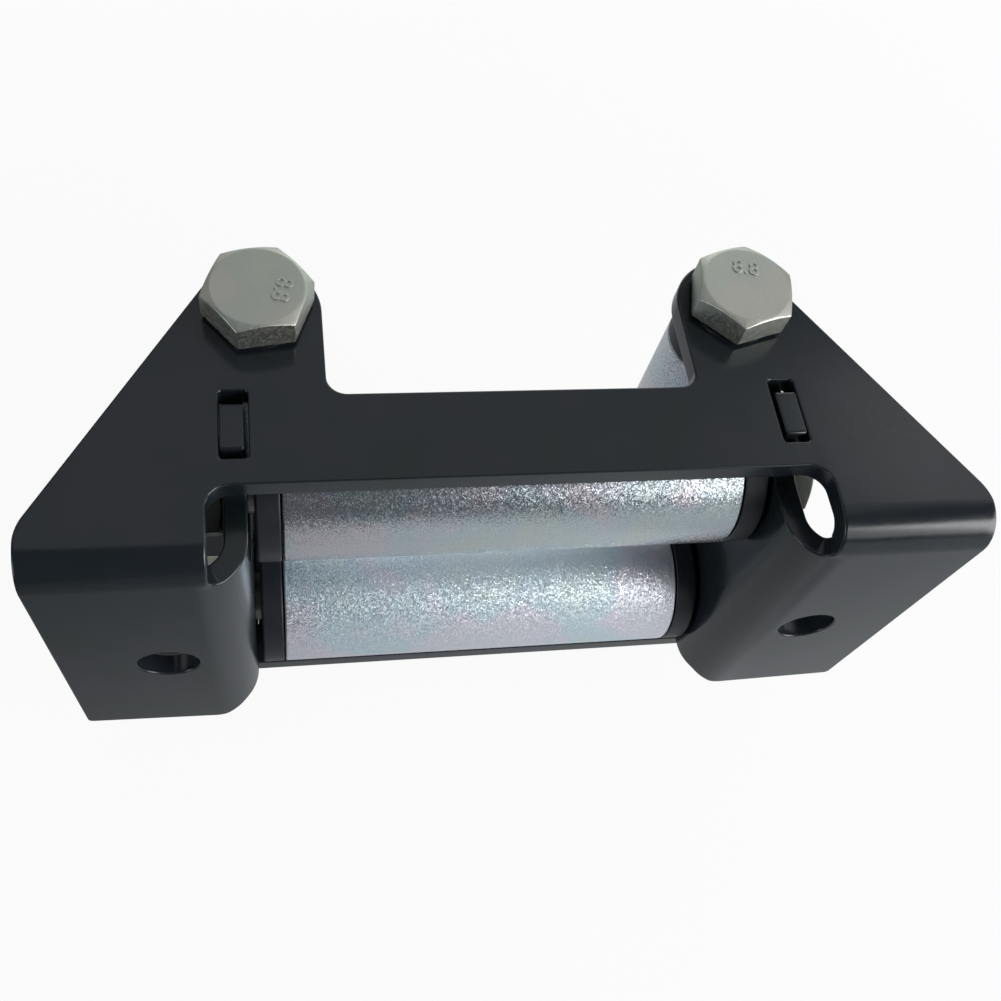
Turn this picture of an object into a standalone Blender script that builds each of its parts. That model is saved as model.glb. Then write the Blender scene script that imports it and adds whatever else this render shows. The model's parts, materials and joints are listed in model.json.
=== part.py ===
"""Four-way roller fairlead for a small winch.

A folded steel bracket and a flat lower plate carry two horizontal and two
vertical rollers. Each roller is a steel tube on two flanged nylon bushings
that turn on a fixed hex bolt.

Frame: +X to the right, +Y forward out of the winch plate, +Z up. The origin
is midway between the two mounting holes, on the mounting face (y = 0).
All sizes are in metres.
"""
import math

import bmesh
import bpy
from mathutils import Vector

# Fits between separate pieces
SEAT_GAP = 0.0003            # pieces that touch
RUN_GAP = 0.0003             # vertical roller to its plate, each end
END_PLAY = 0.0011            # horizontal roller to its cheek, each end
BORE_GAP = 0.0003            # bolt in a hole or a bushing, on the radius

# Bracket, overall
BOLT_PATTERN = 0.124         # between the mounting holes
MOUNT_HOLE = 0.011
OVERALL_WIDTH = 0.1620
OVERALL_HEIGHT = 0.080       # top face to the lower plate's under face
FLANGE_LOW = 0.0088          # lower plate's under face up to the flange's outer corner
TIP_LOW = 0.0071             # the same, up to the flange's inner corner
CHEEK_LOW = 0.0094           # the same, up to the cheek's edge behind its step
SHEET = 0.0040
EDGE_BREAK = 0.0004          # small chamfer on the sheared edges

# Bends, outer radii
TOP_BEND = 0.007             # top plate down into the flanges
CHEEK_BEND = 0.009           # flanges forward into the cheeks
BEND_STEPS = 6
FADE_REACH = 0.002           # how far the cheek bend's shape runs up the top bend
FADE_STEPS = 3
FLAT_ANGLE = math.radians(0.2)

# Plate outline
RECESS_DEPTH = 0.0145        # mounting face to the top plate's rear edge
LOWER_PLATE_SETBACK = 0.0122 # mounting face to the lower plate's rear edge
LOWER_CORNER = 0.003
NOTCH_DEPTH = 0.03125        # mounting face to the front edge between the ears
NOTCH_FILLET = 0.0035
EAR_RADIUS = 0.0109
FLARE_START = 0.0083         # mounting face to where the outer edges turn inward
FLARE_CORNER = 0.0085
FLANGE_CORNER = 0.0012
TIP_INSET = 0.0023           # from the start of the cheek bend to the inner corner
TIP_RISE = 0.0053            # from there along the blank to the cheek's lower edge
TIP_CORNER = 0.003

# Cheeks
CHEEK_SPAN = 0.0930          # between the cheeks' inner faces
CHEEK_FRONT = 0.0368
CHEEK_CORNER = 0.0035
CHEEK_STEP = 0.0135          # where the lower edge steps down to the lower plate
TAB_START = 0.0209
TAB_LENGTH = 0.009
TAB_PROUD = 0.0005           # upper tabs above the top plate
SLOT_CLEARANCE = 0.00065     # slot wider than the tab, each side
SLOT_REAR_GAP = 0.0016       # slot past the tab's rear edge
SLOT_FRONT_GAP = 0.0024      # slot past the tab's front edge
SLOT_CORNER = 0.0008

# Relief openings where the two bends meet
RELIEF_OUTER = 0.0527
RELIEF_DEPTH = 0.0086        # top face to the opening's lower edge
RELIEF_FRONT = 0.0185        # mounting face to where the cheek rises to the plate
RELIEF_CORNER = 0.003
RECESS_CORNER = 0.0038       # to the recessed rear edge

# Rollers
ROLLER_TO_PLATE = 0.00125    # horizontal tube to the nearer plate
UPPER_AXIS_Y = 0.0248
LOWER_AXIS_Y = 0.0216
VERTICAL_AXIS_X = 0.0436
VERTICAL_AXIS_Y = 0.0488
HORIZONTAL_TUBE = 0.0275
HORIZONTAL_WALL = 0.0025
HORIZONTAL_FLANGE = 0.0043
HORIZONTAL_SPIGOT = 0.014
VERTICAL_TUBE = 0.019
VERTICAL_WALL = 0.002
VERTICAL_FLANGE = 0.0056
VERTICAL_SPIGOT = 0.012
TUBE_EDGE = 0.0004
BUSHING_EDGE = 0.0006

# Bolts and lock nuts
BOLT = 0.010
ACROSS_FLATS = 0.017
HEAD_HEIGHT = 0.0064
WASHER_FACE = 0.0155
WASHER_FACE_HEIGHT = 0.0006
CHAMFER_CIRCLE = 0.0160      # flat circle on top of a head or nut
CHAMFER_ANGLE = math.radians(27)
BOLT_TIP = 0.001
THREAD_PAST_NUT = 0.0025
NUT_HEX_HEIGHT = 0.0068
NUT_HEIGHT = 0.0098
NUT_COLLAR = 0.0145
NUT_COLLAR_WALL = 0.0011
INSERT_HEIGHT = 0.0022
SIDE_HEAD_TURN = math.radians(23)
LEFT_HEAD_TURN = math.radians(8.2)
RIGHT_HEAD_TURN = math.radians(-43.4)

# Weld fillets between the cheeks and the lower plate
WELD_LEG = 0.003
WELD_LENGTH = 0.021
WELD_HOLLOW = 0.2            # how far the fillet's face dips below a quarter round
WELD_STEPS = 4

SAG = 0.00005                # how far a chord may fall inside a sheet's arc
TUBE_SEGMENTS = 36
BUSHING_SEGMENTS = 28
BOLT_SEGMENTS = 24

# Values worked out from the sizes above
TOP = OVERALL_HEIGHT / 2
UNDER_TOP = TOP - SHEET
HALF_WIDTH = OVERALL_WIDTH / 2
CHEEK_INNER = CHEEK_SPAN / 2
CHEEK_OUTER = CHEEK_INNER + SHEET
CHEEK_LINE = CHEEK_INNER + CHEEK_BEND      # where the flange starts to fold
CHEEK_ARC = CHEEK_BEND * math.pi / 2       # blank length used by a cheek bend
FLAT_FLANGE_TOP = TOP_BEND - TOP_BEND * math.pi / 2
BOLT_HOLE_RADIUS = BOLT / 2 + BORE_GAP
RELIEF_FLOOR = FLAT_FLANGE_TOP + TOP_BEND - RELIEF_DEPTH
FADE_TOP = FLAT_FLANGE_TOP + FADE_REACH
AXIS_HEIGHT = UNDER_TOP - ROLLER_TO_PLATE - HORIZONTAL_TUBE / 2
EAR_AXIS = Vector((VERTICAL_AXIS_X, VERTICAL_AXIS_Y))


def material(name, colour, roughness, metallic):
    found = bpy.data.materials.get(name)
    if found:
        return found
    made = bpy.data.materials.new(name)
    made.use_nodes = True
    shader = made.node_tree.nodes["Principled BSDF"]
    shader.inputs["Base Color"].default_value = (*colour, 1.0)
    shader.inputs["Roughness"].default_value = roughness
    shader.inputs["Metallic"].default_value = metallic
    made.diffuse_color = (*colour, 1.0)
    return made


def black_coat():
    return material("black_coat", (0.018, 0.021, 0.025), 0.3, 0.0)


def zinc():
    return material("zinc_plate", (0.60, 0.63, 0.63), 0.28, 1.0)


def black_nylon():
    return material("black_nylon", (0.012, 0.014, 0.022), 0.45, 0.0)


def white_nylon():
    return material("nylon_insert", (0.55, 0.56, 0.55), 0.5, 0.0)


def make_object(name, bm, finish, parent=None):
    """Turn a bmesh into a named object with its faces pointing out."""
    bmesh.ops.recalc_face_normals(bm, faces=bm.faces)
    mesh = bpy.data.meshes.new(name)
    bm.to_mesh(mesh)
    bm.free()
    mesh.materials.append(finish)
    mesh.shade_smooth()
    mesh.set_sharp_from_angle(angle=math.radians(35))
    made = bpy.data.objects.new(name, mesh)
    bpy.context.scene.collection.objects.link(made)
    made.parent = parent
    return made


def make_empty(name, location, rotation=(0.0, 0.0, 0.0)):
    made = bpy.data.objects.new(name, None)
    made.empty_display_size = 0.01
    made.location = location
    made.rotation_euler = rotation
    bpy.context.scene.collection.objects.link(made)
    return made


# Flat outlines

def arc(centre, radius, start, end, count=None):
    """Points on an arc from angle start to angle end, both included."""
    if count is None:
        step = 2 * math.acos(1 - SAG / radius)
        count = max(2, math.ceil(abs(end - start) / step - 0.2))
    points = []
    for i in range(count + 1):
        angle = start + (end - start) * i / count
        points.append(Vector((centre[0] + radius * math.cos(angle),
                              centre[1] + radius * math.sin(angle))))
    return points


def circle(centre, radius, count=None):
    return arc(centre, radius, 0.0, 2 * math.pi, count)[:-1]


def rounded(corners):
    """A closed outline from (point, radius) corners, with true arcs on them."""
    points = []
    total = len(corners)
    for i, (point, radius) in enumerate(corners):
        corner = Vector(point)
        if radius <= 0:
            points.append(corner)
            continue
        to_last = (Vector(corners[i - 1][0]) - corner).normalized()
        to_next = (Vector(corners[(i + 1) % total][0]) - corner).normalized()
        half = to_last.angle(to_next) / 2
        reach = radius / math.tan(half)
        centre = corner + (to_last + to_next).normalized() * radius / math.sin(half)
        first = corner + to_last * reach - centre
        last = corner + to_next * reach - centre
        start = math.atan2(first.y, first.x)
        sweep = math.atan2(last.y, last.x) - start
        sweep = (sweep + math.pi) % (2 * math.pi) - math.pi
        points.extend(arc(centre, radius, start, start + sweep))
    return points


def mirrored(points):
    return [Vector((-p.x, p.y)) for p in reversed(points)]


def front_edge(corner):
    """Right half of a plate's front edge, from the notch to the outer corner."""
    inner = VERTICAL_AXIS_X - EAR_RADIUS
    fillet = arc((inner - NOTCH_FILLET, NOTCH_DEPTH + NOTCH_FILLET),
                 NOTCH_FILLET, -math.pi / 2, 0.0)
    reach = corner - EAR_AXIS
    tangent = math.atan2(reach.y, reach.x) + math.acos(EAR_RADIUS / reach.length)
    ear = arc(EAR_AXIS, EAR_RADIUS, math.pi, tangent)
    return fillet + ear


def rear_height(z):
    """Blank coordinate of height z on the flat part of a flange."""
    return FLAT_FLANGE_TOP - (TOP - TOP_BEND - z)


def cheek_blank(y):
    """Blank coordinate of the cheek point that ends up at depth y."""
    return CHEEK_LINE - CHEEK_ARC - (y - CHEEK_BEND)


def cheek_outline():
    """Corners of the right flange and cheek lobe in the blank, from the outside in."""
    lower = rear_height(-UNDER_TOP + SEAT_GAP)
    upper = rear_height(UNDER_TOP - SEAT_GAP)
    tab_low = rear_height(-TOP)
    tab_high = rear_height(TOP + TAB_PROUD)
    tab_rear = cheek_blank(TAB_START)
    tab_front = cheek_blank(TAB_START + TAB_LENGTH)
    front = cheek_blank(CHEEK_FRONT)
    step = cheek_blank(CHEEK_STEP)
    tip = CHEEK_LINE - TIP_INSET
    edge = rear_height(CHEEK_LOW - TOP)
    return [((HALF_WIDTH, rear_height(FLANGE_LOW - TOP)), FLANGE_CORNER),
            ((tip, rear_height(TIP_LOW - TOP)), TIP_CORNER),
            ((tip - TIP_RISE, edge), TIP_CORNER),
            ((step, edge), CHEEK_CORNER / 2),
            ((step, lower), 0),
            ((tab_rear, lower), 0),
            ((tab_rear, tab_low), 0),
            ((tab_front, tab_low), 0),
            ((tab_front, lower), 0),
            ((front, lower), CHEEK_CORNER),
            ((front, upper), CHEEK_CORNER),
            ((tab_front, upper), 0),
            ((tab_front, tab_high), SLOT_CORNER),
            ((tab_rear, tab_high), SLOT_CORNER),
            ((tab_rear, upper), 0),
            ((cheek_blank(RELIEF_FRONT), upper), RELIEF_CORNER / 2),
            ((cheek_blank(RELIEF_FRONT), RELIEF_FLOOR), RELIEF_CORNER),
            ((RELIEF_OUTER, RELIEF_FLOOR), RELIEF_CORNER),
            ((RELIEF_OUTER, RECESS_DEPTH), RECESS_CORNER)]


def bracket_blank():
    """Outline and holes of the flat blank that folds into the bracket."""
    outer = Vector((HALF_WIDTH, FLARE_START))
    front = front_edge(outer)
    corners = [(front[-1], 0), (outer, FLARE_CORNER)] + cheek_outline()
    half = front[:-1] + rounded(corners + [((0.0, RECESS_DEPTH), 0)])[:-1]
    outline = half + mirrored(half)
    holes = []
    for side in (-1, 1):
        holes.append(circle((side * BOLT_PATTERN / 2, rear_height(0.0)), MOUNT_HOLE / 2))
        holes.append(circle((side * VERTICAL_AXIS_X, VERTICAL_AXIS_Y), BOLT_HOLE_RADIUS))
        holes.append(slot_outline(side))
        for depth, height in ((UPPER_AXIS_Y, AXIS_HEIGHT), (LOWER_AXIS_Y, -AXIS_HEIGHT)):
            holes.append(circle((side * cheek_blank(depth), rear_height(height)),
                                BOLT_HOLE_RADIUS))
    return outline, holes


def slot_outline(side):
    """Slot that a cheek tab passes through, on the right or left side."""
    inner = CHEEK_INNER - SLOT_CLEARANCE
    outer = CHEEK_OUTER + SLOT_CLEARANCE
    rear = TAB_START - SLOT_REAR_GAP
    front = TAB_START + TAB_LENGTH + SLOT_FRONT_GAP
    corners = [(inner, rear), (outer, rear), (outer, front), (inner, front)]
    return rounded([((side * x, y), SLOT_CORNER) for x, y in corners])


def lower_plate_outline():
    """Outline and holes of the flat lower plate."""
    outer = Vector((HALF_WIDTH, FLARE_START))
    front = front_edge(outer)
    slope = (outer - front[-1]).normalized()
    rear = outer + slope * ((LOWER_PLATE_SETBACK - outer.y) / slope.y)
    corners = [(front[-1], 0), (rear, LOWER_CORNER), ((0.0, LOWER_PLATE_SETBACK), 0)]
    half = front[:-1] + rounded(corners)[:-1]
    holes = []
    for side in (-1, 1):
        holes.append(circle((side * VERTICAL_AXIS_X, VERTICAL_AXIS_Y), BOLT_HOLE_RADIUS))
        holes.append(slot_outline(side))
    return half + mirrored(half), holes


# Sheet metal

def flat_sheet(outline, holes):
    """A filled flat region with a ring of width EDGE_BREAK along every edge."""
    bm = bmesh.new()
    for loop in [outline] + holes:
        verts = [bm.verts.new((p.x, p.y, 0.0)) for p in loop]
        for i, vert in enumerate(verts):
            bm.edges.new((vert, verts[(i + 1) % len(verts)]))
    bmesh.ops.triangle_fill(bm, edges=bm.edges[:], use_beauty=True, normal=(0, 0, 1))
    bmesh.ops.inset_region(bm, faces=bm.faces[:], thickness=EDGE_BREAK,
                           use_even_offset=True, use_boundary=True)
    return bm


def cut_lines(bm, normal, values, inside):
    """Split the faces with a corner inside along lines square to normal."""
    for value in values:
        faces = [f for f in bm.faces if any(inside(v.co) for v in f.verts)]
        geometry = set(faces)
        for face in faces:
            geometry.update(face.edges)
            geometry.update(face.verts)
        bmesh.ops.bisect_plane(bm, geom=list(geometry), dist=1e-7,
                               plane_co=normal * value, plane_no=normal)


def thicken(bm):
    """Give the flat sheet its thickness, with chamfered edges, along z.

    The z coordinate is the depth below the outer face, from 0 to SHEET.
    """
    rim = {v for v in bm.verts if v.is_boundary}
    upper = list(bm.faces)
    copied = bmesh.ops.duplicate(bm, geom=bm.verts[:] + bm.edges[:] + bm.faces[:])
    twin = copied["vert_map"]
    rim_edges = [e for e in bm.edges if e.is_boundary and e.verts[0] in rim
                 and e.verts[1] in rim]
    upper_verts = {v for f in upper for v in f.verts}
    for vert in upper_verts:
        other = twin[vert]
        other.co.z = SHEET
        if vert in rim:
            vert.co.z = EDGE_BREAK
            other.co.z = SHEET - EDGE_BREAK
    for edge in rim_edges:
        a, b = edge.verts
        bm.faces.new((a, b, twin[b], twin[a]))


def join_flat_faces(bm):
    """Merge faces that lie in one plane, then split them into few triangles."""
    bmesh.ops.triangulate(bm, faces=bm.faces[:])
    bmesh.ops.dissolve_limit(bm, angle_limit=FLAT_ANGLE, verts=bm.verts[:],
                             edges=bm.edges[:])
    bmesh.ops.triangulate(bm, faces=bm.faces[:])


def ease(value):
    value = min(1.0, max(0.0, value))
    return value * value * (3 - 2 * value)


def folded_point(co):
    """Where a point of the thick blank lies once both bends are made."""
    side = 1.0 if co.x >= 0 else -1.0
    x, v, depth = abs(co.x), co.y, co.z
    # Top bend, about a line along X
    if v >= TOP_BEND:
        top = Vector((x, v, TOP - depth))
    elif v >= FLAT_FLANGE_TOP:
        angle = (TOP_BEND - v) / TOP_BEND
        radius = TOP_BEND - depth
        top = Vector((x, TOP_BEND - radius * math.sin(angle),
                      TOP - TOP_BEND + radius * math.cos(angle)))
    else:
        top = Vector((x, depth, TOP - TOP_BEND - (FLAT_FLANGE_TOP - v)))
    # Cheek bend, about a line along Z
    run = CHEEK_LINE - x
    height = TOP - TOP_BEND - (FLAT_FLANGE_TOP - v)
    flat = Vector((x, depth, height))
    if run <= 0:
        cheek = flat
    elif run <= CHEEK_ARC:
        angle = run / CHEEK_BEND
        radius = CHEEK_BEND - depth
        cheek = Vector((CHEEK_LINE - radius * math.sin(angle),
                        CHEEK_BEND - radius * math.cos(angle), height))
    else:
        cheek = Vector((CHEEK_INNER + depth, CHEEK_BEND + run - CHEEK_ARC, height))
    # Beside the relief opening the cheek bend fades into the top bend
    if v > TOP_BEND:
        place = top
    elif x < RELIEF_OUTER - RELIEF_CORNER:
        place = cheek
    else:
        place = top + (cheek - flat) * ease((FADE_TOP - v) / (FADE_TOP - RELIEF_FLOOR))
    return Vector((side * place.x, place.y, place.z))


def make_bracket():
    bm = flat_sheet(*bracket_blank())
    across = Vector((1, 0, 0))
    along = Vector((0, 1, 0))
    steps = range(BEND_STEPS + 1)
    top_lines = [TOP_BEND + (FLAT_FLANGE_TOP - TOP_BEND) * i / BEND_STEPS for i in steps]
    fade = FADE_TOP - RELIEF_FLOOR
    fade_lines = [RELIEF_FLOOR + fade * i / FADE_STEPS for i in range(FADE_STEPS)]
    cheek_lines = [CHEEK_LINE - CHEEK_ARC * i / BEND_STEPS for i in steps]
    cut_lines(bm, along, top_lines, lambda co: co.y < TOP_BEND)
    for side in (-1, 1):
        cut_lines(bm, across, [side * x for x in cheek_lines], lambda co: co.y < TOP_BEND)
    cut_lines(bm, along, fade_lines, lambda co: co.y < TOP_BEND and abs(co.x) < CHEEK_LINE)
    bmesh.ops.triangulate(bm, faces=[f for f in bm.faces if len(f.verts) > 4])
    thicken(bm)
    for vert in bm.verts:
        vert.co = folded_point(vert.co)
    join_flat_faces(bm)
    return make_object("mounting_bracket", bm, black_coat())


def make_lower_plate():
    bm = flat_sheet(*lower_plate_outline())
    thicken(bm)
    for vert in bm.verts:
        vert.co.z = -UNDER_TOP - vert.co.z
    join_flat_faces(bm)
    return make_object("lower_plate", bm, black_coat())


# Turned pieces

def revolve(profile, segments):
    """Spin a closed (radius, z) profile about Z into a closed ring or solid."""
    bm = bmesh.new()
    rings = []
    for radius, z in profile:
        if radius <= 0:
            rings.append([bm.verts.new((0, 0, z))])
            continue
        rings.append([bm.verts.new((p.x, p.y, z))
                      for p in circle((0, 0), radius, segments)])
    for i, ring in enumerate(rings):
        after = rings[(i + 1) % len(rings)]
        for j in range(segments):
            k = (j + 1) % segments
            if len(ring) == 1 and len(after) == 1:
                continue
            if len(ring) == 1:
                bm.faces.new((ring[0], after[j], after[k]))
            elif len(after) == 1:
                bm.faces.new((ring[j], after[0], ring[k]))
            else:
                bm.faces.new((ring[j], after[j], after[k], ring[k]))
    return bm


def tube_profile(outer, wall, half):
    inner = outer - wall
    return [(outer - TUBE_EDGE, half), (outer, half - TUBE_EDGE),
            (outer, -half + TUBE_EDGE), (outer - TUBE_EDGE, -half),
            (inner, -half), (inner, half)]


def bushing_profile(outer, spigot, flange, length):
    """Flange from z = 0 down to -flange, then the spigot inside the tube."""
    bore = BOLT / 2 + BORE_GAP
    return [(bore, 0.0), (outer - BUSHING_EDGE, 0.0), (outer, -BUSHING_EDGE),
            (outer, -flange), (spigot, -flange),
            (spigot, -flange - length), (bore, -flange - length)]


def make_roller(name, axis, ends, face, tube, wall, flange, spigot_length):
    """A tube on two flanged bushings, along the local Z of its axis empty.

    ends names the bushings at the +Z and -Z ends, whose outer faces lie at face.
    """
    outer = tube / 2
    half_tube = face - flange - SEAT_GAP
    make_object(name + "_tube", revolve(tube_profile(outer, wall, half_tube), TUBE_SEGMENTS),
                zinc(), axis)
    spigot = outer - wall - SEAT_GAP
    for end, place, turn in ((ends[0], face, 0.0), (ends[1], -face, math.pi)):
        profile = bushing_profile(outer, spigot, flange, spigot_length)
        bushing = make_object(f"{name}_{end}_bushing", revolve(profile, BUSHING_SEGMENTS),
                              black_nylon(), axis)
        bushing.location = (0, 0, place)
        bushing.rotation_euler = (turn, 0, 0)


# Fasteners

def hexagon(across, turn):
    radius = across / math.sqrt(3)
    return [Vector((radius * math.cos(turn + i * math.pi / 3),
                    radius * math.sin(turn + i * math.pi / 3))) for i in range(6)]


def hex_ring(bm, across, turn, per_flat, height_at):
    """A hexagonal ring of points whose height depends on their radius."""
    corners = hexagon(across, turn)
    ring = []
    for i, corner in enumerate(corners):
        after = corners[(i + 1) % 6]
        for j in range(per_flat):
            p = corner.lerp(after, j / per_flat)
            ring.append(bm.verts.new((p.x, p.y, height_at(p.length))))
    return ring


def round_ring(bm, like, radius, z):
    """A ring with a point beside each point of another ring."""
    ring = []
    for vert in like:
        direction = Vector((vert.co.x, vert.co.y)).normalized() * radius
        ring.append(bm.verts.new((direction.x, direction.y, z)))
    return ring


def bridge(bm, first, second):
    count = len(first)
    for i in range(count):
        j = (i + 1) % count
        bm.faces.new((first[i], first[j], second[j], second[i]))


def make_bolt(name, axis, head_seat, tip, turn):
    """Hex bolt along local Z: head above head_seat, shank down to tip."""
    bm = bmesh.new()
    under = head_seat + SEAT_GAP
    top = under + HEAD_HEIGHT
    fall = math.tan(CHAMFER_ANGLE)
    per_flat = BOLT_SEGMENTS // 6
    flat_top = CHAMFER_CIRCLE / 2
    upper = hex_ring(bm, ACROSS_FLATS, turn, per_flat,
                     lambda r: top - max(0.0, r - flat_top) * fall)
    lower = hex_ring(bm, ACROSS_FLATS, turn, per_flat,
                     lambda r: under + WASHER_FACE_HEIGHT)
    crown = round_ring(bm, upper, flat_top, top)
    rings = [crown, upper, lower,
             round_ring(bm, upper, WASHER_FACE / 2, under + WASHER_FACE_HEIGHT),
             round_ring(bm, upper, WASHER_FACE / 2, under),
             round_ring(bm, upper, BOLT / 2, under),
             round_ring(bm, upper, BOLT / 2, tip + BOLT_TIP),
             round_ring(bm, upper, BOLT / 2 - BOLT_TIP, tip)]
    for first, second in zip(rings, rings[1:]):
        bridge(bm, first, second)
    bm.faces.new(rings[0])
    bm.faces.new(rings[-1])
    return make_object(name, bm, zinc(), axis)


def make_nut(name, axis, seat, turn):
    """Lock nut with a collar, below seat, opening towards local -Z."""
    bm = bmesh.new()
    top = seat - SEAT_GAP
    hex_end = top - NUT_HEX_HEIGHT
    end = top - NUT_HEIGHT
    fall = math.tan(CHAMFER_ANGLE)
    per_flat = BOLT_SEGMENTS // 6
    flat = CHAMFER_CIRCLE / 2
    pocket = NUT_COLLAR / 2 - NUT_COLLAR_WALL
    thread = BOLT / 2 + BORE_GAP
    floor = end + INSERT_HEIGHT + 2 * SEAT_GAP
    upper = hex_ring(bm, ACROSS_FLATS, turn, per_flat,
                     lambda r: top - max(0.0, r - flat) * fall)
    lower = hex_ring(bm, ACROSS_FLATS, turn, per_flat,
                     lambda r: hex_end + max(0.0, r - flat) * fall)
    rings = [upper, lower,
             round_ring(bm, upper, flat, hex_end),
             round_ring(bm, upper, NUT_COLLAR / 2, hex_end),
             round_ring(bm, upper, NUT_COLLAR / 2, end),
             round_ring(bm, upper, pocket, end),
             round_ring(bm, upper, pocket, floor),
             round_ring(bm, upper, thread, floor),
             round_ring(bm, upper, thread, top),
             round_ring(bm, upper, flat, top)]
    for first, second in zip(rings, rings[1:] + rings[:1]):
        bridge(bm, first, second)
    made = make_object(name, bm, zinc(), axis)
    ring = [(pocket - SEAT_GAP, 0.0), (pocket - SEAT_GAP, -INSERT_HEIGHT),
            (thread, -INSERT_HEIGHT), (thread, 0.0)]
    insert = make_object(name + "_insert", revolve(ring, BOLT_SEGMENTS),
                         white_nylon(), axis)
    insert.location = (0, 0, floor - SEAT_GAP)
    return made


def make_axle(name, axis, half_outer, turn):
    """Bolt and lock nut that clamp across the outer faces at half_outer."""
    tip = -half_outer - SEAT_GAP - NUT_HEIGHT - THREAD_PAST_NUT
    make_bolt(name + "_bolt", axis, half_outer, tip, turn)
    make_nut(name + "_nut", axis, -half_outer, turn)


# Welds

def make_weld(side):
    """Fillet run in the outer corner between a cheek and the lower plate."""
    bm = bmesh.new()
    x = CHEEK_OUTER + SEAT_GAP
    z = -UNDER_TOP + SEAT_GAP
    section = [Vector((x, z))]
    for i in range(WELD_STEPS + 1):
        angle = math.pi / 2 * i / WELD_STEPS
        face = WELD_LEG * (1 - WELD_HOLLOW * math.sin(2 * angle))
        section.append(Vector((x + face * math.cos(angle), z + face * math.sin(angle))))
    middle = TAB_START + TAB_LENGTH / 2
    rings = [[bm.verts.new((side * p.x, y, p.y)) for p in section]
             for y in (middle - WELD_LENGTH / 2, middle + WELD_LENGTH / 2)]
    bridge(bm, rings[0], rings[1])
    bm.faces.new(rings[0])
    bm.faces.new(rings[1])
    name = "right_plate_weld" if side > 0 else "left_plate_weld"
    return make_object(name, bm, black_coat())


def build():
    for old in list(bpy.data.objects):
        bpy.data.objects.remove(old)
    make_bracket()
    make_lower_plate()
    for side in (-1, 1):
        make_weld(side)
    across = (0.0, math.pi / 2, 0.0)
    horizontals = (("upper_roller", UPPER_AXIS_Y, AXIS_HEIGHT),
                   ("lower_roller", LOWER_AXIS_Y, -AXIS_HEIGHT))
    for name, depth, height in horizontals:
        axis = make_empty(name + "_axis", (0.0, depth, height), across)
        make_roller(name, axis, ("right", "left"), CHEEK_INNER - END_PLAY, HORIZONTAL_TUBE,
                    HORIZONTAL_WALL, HORIZONTAL_FLANGE, HORIZONTAL_SPIGOT)
        make_axle(name, axis, CHEEK_OUTER, SIDE_HEAD_TURN)
    verticals = (("left_roller", -VERTICAL_AXIS_X, LEFT_HEAD_TURN),
                 ("right_roller", VERTICAL_AXIS_X, RIGHT_HEAD_TURN))
    for name, x, turn in verticals:
        axis = make_empty(name + "_axis", (x, VERTICAL_AXIS_Y, 0.0))
        make_roller(name, axis, ("upper", "lower"), UNDER_TOP - RUN_GAP, VERTICAL_TUBE,
                    VERTICAL_WALL, VERTICAL_FLANGE, VERTICAL_SPIGOT)
        make_axle(name, axis, TOP, turn)
    bpy.context.view_layer.update()


build()
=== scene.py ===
"""Looks of the four-way roller fairlead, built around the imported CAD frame.

Every piece stands for one CAD node, in the same place and of the same size,
with finer curves, rounded edges, threads and head marks. Sizes are in metres.
"""
import json
import math

import bmesh
import bpy
from mathutils import Matrix, Vector


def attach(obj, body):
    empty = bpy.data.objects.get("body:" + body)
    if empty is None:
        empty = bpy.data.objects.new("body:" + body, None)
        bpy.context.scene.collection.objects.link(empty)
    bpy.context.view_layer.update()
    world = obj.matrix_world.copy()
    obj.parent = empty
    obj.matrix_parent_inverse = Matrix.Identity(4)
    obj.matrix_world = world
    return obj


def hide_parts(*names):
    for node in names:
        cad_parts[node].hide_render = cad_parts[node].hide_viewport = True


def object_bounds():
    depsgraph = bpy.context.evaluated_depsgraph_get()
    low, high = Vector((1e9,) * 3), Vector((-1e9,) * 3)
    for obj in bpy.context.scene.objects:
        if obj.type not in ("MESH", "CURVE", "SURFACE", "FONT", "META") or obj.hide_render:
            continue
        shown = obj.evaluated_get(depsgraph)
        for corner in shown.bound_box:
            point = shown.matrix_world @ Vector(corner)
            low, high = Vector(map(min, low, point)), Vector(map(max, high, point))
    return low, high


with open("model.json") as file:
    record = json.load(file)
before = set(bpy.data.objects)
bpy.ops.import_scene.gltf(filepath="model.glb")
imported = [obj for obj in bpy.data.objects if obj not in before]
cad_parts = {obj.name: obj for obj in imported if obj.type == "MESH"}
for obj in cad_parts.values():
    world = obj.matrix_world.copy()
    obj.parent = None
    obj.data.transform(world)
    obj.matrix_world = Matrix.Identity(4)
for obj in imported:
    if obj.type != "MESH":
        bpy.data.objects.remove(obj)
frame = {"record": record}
cad_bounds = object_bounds()

# Camera, at the photograph's angle
CAMERA_PLACE = (-0.04222, -0.06949, 0.19009)
CAMERA_RIGHT = (0.9862, -0.1083, 0.1256)
CAMERA_UP = (0.0363, 0.8799, 0.4738)
CAMERA_SENSOR = 36.0
CAMERA_LENS = 38.60
CAMERA_SHIFT = 0.051
CAMERA_CLIP = (0.005, 20.0)

# Smoothness
SAG = 0.000008
CORNER_STEPS = 4
SHARP_ANGLE = math.radians(50)
CUT_MERGE = 1e-7

# Fits
SEAT_GAP = 0.0003
END_PLAY = 0.0011
BORE_GAP = 0.0003

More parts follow.
